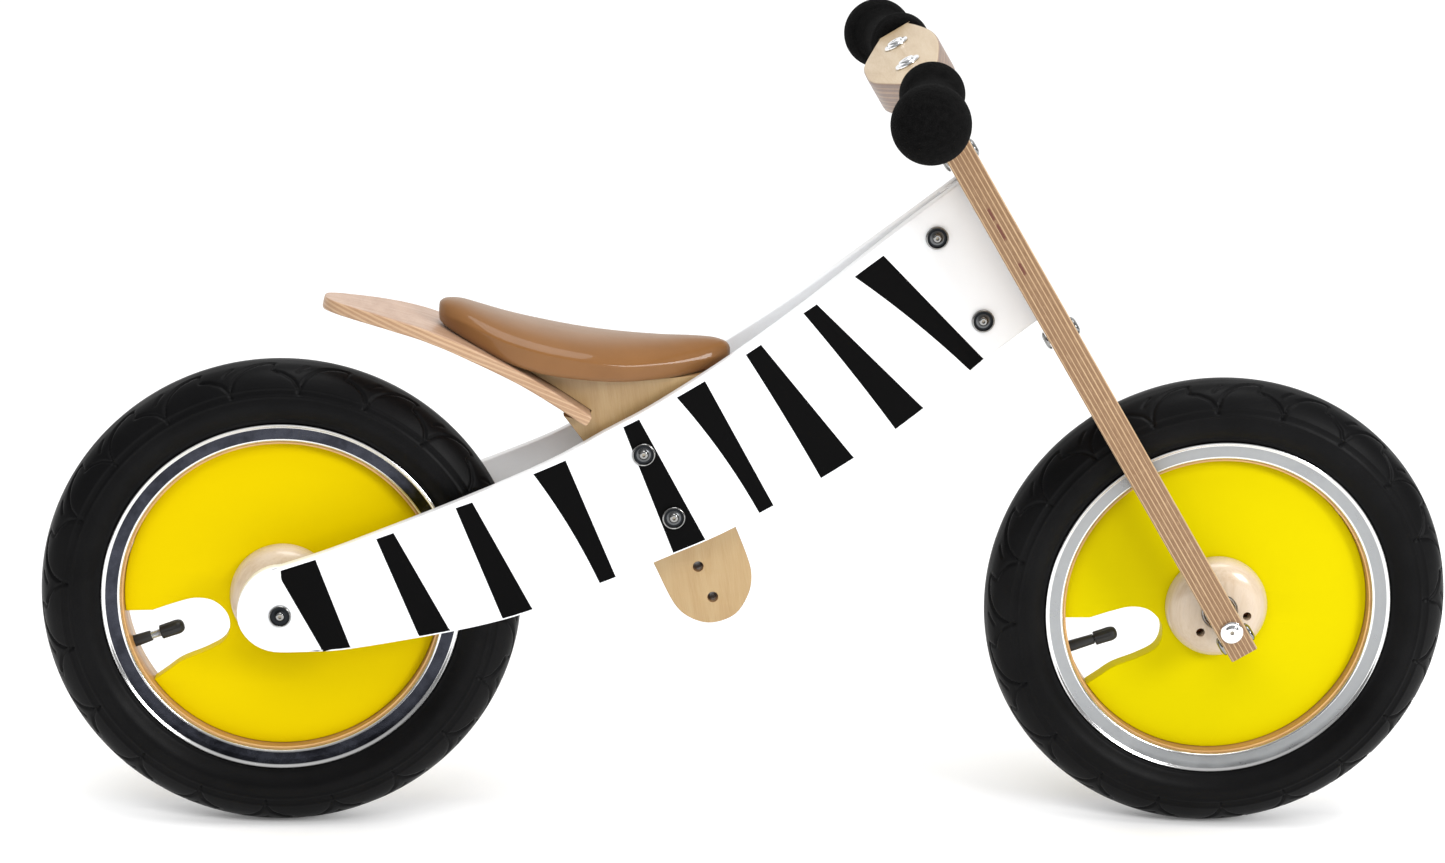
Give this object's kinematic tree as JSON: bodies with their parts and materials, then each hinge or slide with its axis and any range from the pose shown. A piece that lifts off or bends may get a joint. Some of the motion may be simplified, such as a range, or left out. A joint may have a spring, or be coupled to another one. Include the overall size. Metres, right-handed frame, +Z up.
{
  "type": "balance bike",
  "caption": "Pedal-free child's balance bike: bent plywood frame with striped side panels, plywood steering fork, solid disc wheels, curved saddle and foam grips.",
  "frame": {"origin": "on the floor, on the bike's mid-plane, half way between the two axles", "axes": "+X towards the front wheel, +Y to the rider's left along the axles, +Z up"},
  "size_m": [0.8877, 0.4051, 0.5092],
  "materials": {
    "panel_white": "white painted bent plywood with black stripes, satin",
    "disc_yellow": "yellow painted plywood, satin",
    "hoop_ply": "clear lacquered birch plywood hoop",
    "hub_ply": "clear lacquered turned birch plywood",
    "fork_birch": "clear lacquered birch plywood, plies seen on the edges",
    "bar_ply": "clear lacquered birch plywood, plies seen on the edges",
    "post_birch": "clear lacquered laminated birch",
    "tail_beech": "clear lacquered bent beech plywood",
    "saddle_brown": "glossy caramel-brown moulded skin",
    "tyre_rubber": "black ribbed tyre rubber",
    "tube_rubber": "matt black tube rubber",
    "rim_steel": "bright rolled steel rim",
    "bearing_steel": "ground bearing steel",
    "zinc": "zinc plated steel",
    "chrome": "polished chrome plate",
    "valve_brass": "nickel plated brass valve in a black rubber root",
    "cap_plastic": "black ribbed plastic",
    "nylon": "dark nylon",
    "grip_foam": "soft black foam rubber, matt"
  },
  "bodies": {
    "frame": {"side_panel_right": "panel_white", "side_panel_left": "panel_white", "head_block": "panel_white", "head_bolt_upper": "chrome", "head_bolt_lower": "chrome", "seat_bolt_upper": "chrome", "seat_bolt_lower": "chrome", "post_spacer_right": "nylon", "post_spacer_left": "nylon", "seat_post": "post_birch", "tail_board": "tail_beech", "saddle": "saddle_brown", "rear_axle": "chrome", "rear_axle_spacer_right": "zinc", "rear_axle_spacer_left": "zinc", "pivot_washer_upper": "nylon", "pivot_washer_lower": "nylon"},
    "fork": {"fork_board": "fork_birch", "handlebar_block": "bar_ply", "stem_bolt_right": "chrome", "stem_bolt_left": "chrome", "cross_bolt_upper": "chrome", "cross_bolt_lower": "chrome", "leg_bolt_right": "chrome", "leg_bolt_left": "chrome", "pivot_pin": "zinc", "handlebar": "zinc", "grip_right": "grip_foam", "grip_left": "grip_foam", "front_axle": "chrome", "front_axle_spacer_right": "zinc", "front_axle_spacer_left": "zinc"},
    "front_wheel": {"front_tyre": "tyre_rubber", "front_inner_tube": "tube_rubber", "front_rim": "rim_steel", "front_rim_hoop": "hoop_ply", "front_disc": "disc_yellow", "front_hub_boss_right": "hub_ply", "front_hub_boss_left": "hub_ply", "front_bearing_right": "bearing_steel", "front_bearing_left": "bearing_steel", "front_hub_screw_1": "zinc", "front_hub_screw_2": "zinc", "front_hub_screw_3": "zinc", "front_valve_stem": "valve_brass", "front_valve_cap": "cap_plastic"},
    "rear_wheel": {"rear_tyre": "tyre_rubber", "rear_inner_tube": "tube_rubber", "rear_rim": "rim_steel", "rear_rim_hoop": "hoop_ply", "rear_disc": "disc_yellow", "rear_hub_boss_right": "hub_ply", "rear_hub_boss_left": "hub_ply", "rear_bearing_right": "bearing_steel", "rear_bearing_left": "bearing_steel", "rear_hub_screw_1": "zinc", "rear_hub_screw_2": "zinc", "rear_hub_screw_3": "zinc", "rear_valve_stem": "valve_brass", "rear_valve_cap": "cap_plastic"}
  },
  "joints": [
    {"name": "steering", "type": "hinge", "parent": "frame", "child": "fork", "pos_m": [0.296, 0, 0.148], "axis": [-0.5388, 0, 0.8425], "range_deg": [-30.8, 39.2]},
    {"name": "front_wheel_spin", "type": "hinge", "parent": "fork", "child": "front_wheel", "pos_m": [0.296, 0, 0.148], "axis": [0.0617, 0.9973, 0.0395], "continuous": true},
    {"name": "rear_wheel_spin", "type": "hinge", "parent": "frame", "child": "rear_wheel", "pos_m": [-0.296, 0, 0.148], "axis": [0, 1, 0], "continuous": true}
  ]
}
